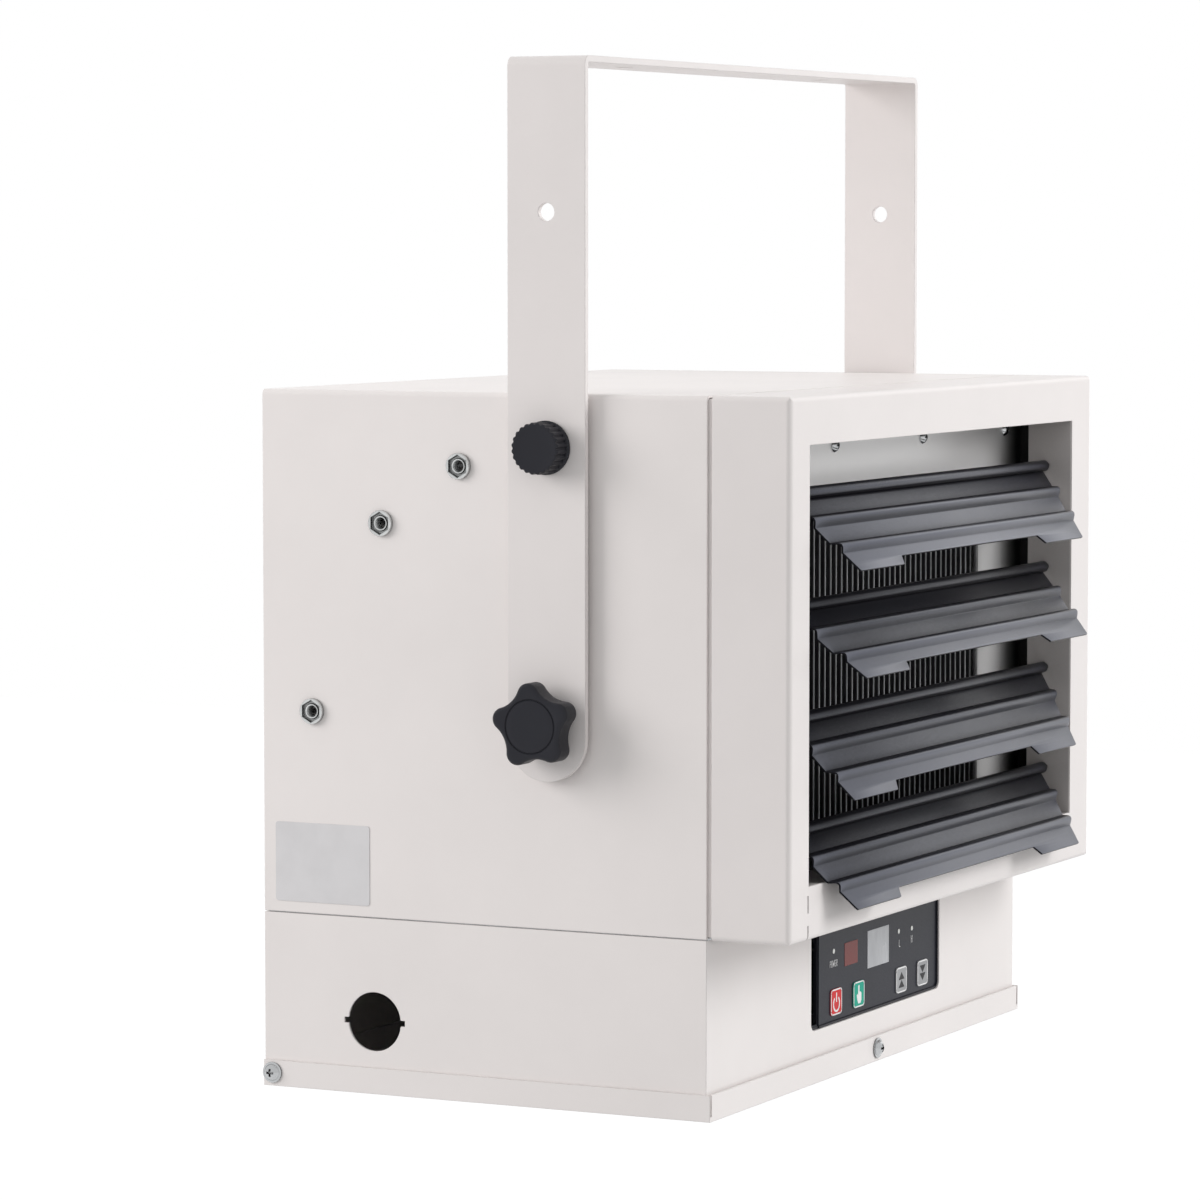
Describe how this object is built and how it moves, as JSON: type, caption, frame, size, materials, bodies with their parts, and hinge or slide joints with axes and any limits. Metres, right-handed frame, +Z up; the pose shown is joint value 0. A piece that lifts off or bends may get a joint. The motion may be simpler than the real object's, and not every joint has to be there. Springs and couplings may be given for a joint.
{
  "type": "ceiling mounted fan heater",
  "caption": "Boxy sheet-metal electric fan heater with a louvred outlet hood and a control box below, hung from the ceiling in a tilting flat-bar bracket with knurled and star-shaped knobs.",
  "frame": {"origin": "middle of the bracket's top face, on the ceiling plane, midway between the two ceiling bolt holes", "axes": "+Z up, -Y the way the warm air leaves at rest, +X to the right of someone who faces along +Y, towards the outlet"},
  "size_m": [0.428, 0.2984, 0.4887],
  "materials": {
    "bracket_paint": "satin powder coat, off-white",
    "casing_paint": "satin powder coat, off-white",
    "galvanised": "galvanised sheet",
    "stainless": "brushed",
    "bright_zinc": "bright zinc plate",
    "louvre_paint": "satin powder coat, anthracite",
    "element_black": "black finned",
    "sheath": "heat-dulled",
    "ceramic": "glazed ceramic",
    "motor_paint": "satin",
    "fan_metal": "satin",
    "black_plastic": "fine grain",
    "overlay": "satin film",
    "lcd": "clear display film",
    "ir_red": "dark red filter",
    "lamp": "clear lens",
    "key_red": "satin film",
    "key_green": "satin film",
    "key_grey": "satin film",
    "board_green": "solder mask",
    "relay_blue": "moulded",
    "winding": "varnished",
    "terminal_white": "moulded",
    "earth_green": "satin",
    "nylon": "natural nylon",
    "plate_metal": "satin foil, bare",
    "print_white": "printed ink, white",
    "print_dark": "printed ink, dark"
  },
  "bodies": {
    "bracket": {"mounting_bracket": "bracket_paint"},
    "heater": {"casing_shell": "casing_paint", "casing_floor": "galvanised", "rear_panel": "casing_paint", "rear_panel_screws": "bright_zinc", "fan_guard": "casing_paint", "front_hood": "casing_paint", "partition_plate": "galvanised", "reflector_plate": "stainless", "reflector_screws": "bright_zinc", "element_frame": "galvanised", "heating_fins": "element_black", "heating_rods": "sheath", "rod_terminals": "ceramic", "fan_shroud": "galvanised", "motor_bracket": "galvanised", "fan_motor": "motor_paint", "thermal_cutout": "black_plastic", "lock_nuts": "bright_zinc", "pivot_nuts": "bright_zinc", "pivot_washers": "nylon", "rating_plate": "plate_metal", "louvre_rod_1": "bright_zinc", "louvre_rod_2": "bright_zinc", "louvre_rod_3": "bright_zinc", "louvre_rod_4": "bright_zinc", "control_box": "casing_paint", "bottom_cover": "casing_paint", "cover_screws": "bright_zinc", "panel_housing": "black_plastic", "control_overlay": "overlay", "display_window": "lcd", "receiver_window": "ir_red", "indicator_lamps": "lamp", "control_board": "board_green", "button_switches": "black_plastic", "power_board": "board_green", "power_relays": "relay_blue", "transformer": "winding", "terminal_block": "terminal_white", "earth_screw": "earth_green"},
    "fan": {"fan_wheel": "fan_metal", "motor_shaft": "bright_zinc", "fan_nut": "bright_zinc"},
    "louvre_1": {"louvre_blade_1": "louvre_paint"},
    "louvre_2": {"louvre_blade_2": "louvre_paint"},
    "louvre_3": {"louvre_blade_3": "louvre_paint"},
    "louvre_4": {"louvre_blade_4": "louvre_paint"},
    "power_key": {"power_button": "key_red"},
    "manual_key": {"manual_button": "key_green"},
    "up_key": {"up_button": "key_grey"},
    "down_key": {"down_button": "key_grey"},
    "star_left": {"star_knob_left": "black_plastic", "pivot_stud_left": "bright_zinc"},
    "star_right": {"star_knob_right": "black_plastic", "pivot_stud_right": "bright_zinc"},
    "lock_left": {"lock_knob_left": "black_plastic", "lock_stud_left": "bright_zinc"},
    "lock_right": {"lock_knob_right": "black_plastic", "lock_stud_right": "bright_zinc"}
  },
  "joints": [
    {"name": "tilt", "type": "hinge", "parent": "bracket", "child": "heater", "pos_m": [0, 0, -0.3077], "axis": [1, 0, 0], "range_deg": [0, 90]},
    {"name": "fan_spin", "type": "hinge", "parent": "heater", "child": "fan", "pos_m": [0, 0.045, -0.28], "axis": [0, 1, 0], "continuous": true},
    {"name": "louvre_1_tilt", "type": "hinge", "parent": "heater", "child": "louvre_1", "pos_m": [-0.00275, -0.1067, -0.20075], "axis": [1, 0, 0], "range_deg": [-50, 25]},
    {"name": "louvre_2_tilt", "type": "hinge", "parent": "heater", "child": "louvre_2", "pos_m": [-0.00275, -0.1067, -0.25275], "axis": [1, 0, 0], "range_deg": [-45, 30]},
    {"name": "louvre_3_tilt", "type": "hinge", "parent": "heater", "child": "louvre_3", "pos_m": [-0.00275, -0.1067, -0.30475], "axis": [1, 0, 0], "range_deg": [-54, 20]},
    {"name": "louvre_4_tilt", "type": "hinge", "parent": "heater", "child": "louvre_4", "pos_m": [-0.00275, -0.1067, -0.35675], "axis": [1, 0, 0], "range_deg": [-51, 1.5]},
    {"name": "power_press", "type": "slide", "parent": "heater", "child": "power_key", "axis": [0, 1, 0], "range_m": [0, 0.0004], "stiffness_N_per_m": 2500, "springref_m": -0.0002},
    {"name": "manual_press", "type": "slide", "parent": "heater", "child": "manual_key", "axis": [0, 1, 0], "range_m": [0, 0.0004], "stiffness_N_per_m": 2500, "springref_m": -0.0002},
    {"name": "up_press", "type": "slide", "parent": "heater", "child": "up_key", "axis": [0, 1, 0], "range_m": [0, 0.0004], "stiffness_N_per_m": 2500, "springref_m": -0.0002},
    {"name": "down_press", "type": "slide", "parent": "heater", "child": "down_key", "axis": [0, 1, 0], "range_m": [0, 0.0004], "stiffness_N_per_m": 2500, "springref_m": -0.0002},
    {"name": "star_left_turn", "type": "hinge", "parent": "bracket", "child": "star_left", "pos_m": [-0.21, 0, -0.3077], "axis": [-1, 0, 0], "continuous": true},
    {"name": "lock_left_release", "type": "slide", "parent": "bracket", "child": "lock_left", "axis": [-1, 0, 0], "range_m": [0, 0.012]},
    {"name": "star_right_turn", "type": "hinge", "parent": "bracket", "child": "star_right", "pos_m": [0.21, 0, -0.3077], "axis": [1, 0, 0], "continuous": true},
    {"name": "lock_right_release", "type": "slide", "parent": "bracket", "child": "lock_right", "axis": [1, 0, 0], "range_m": [0, 0.012]}
  ]
}
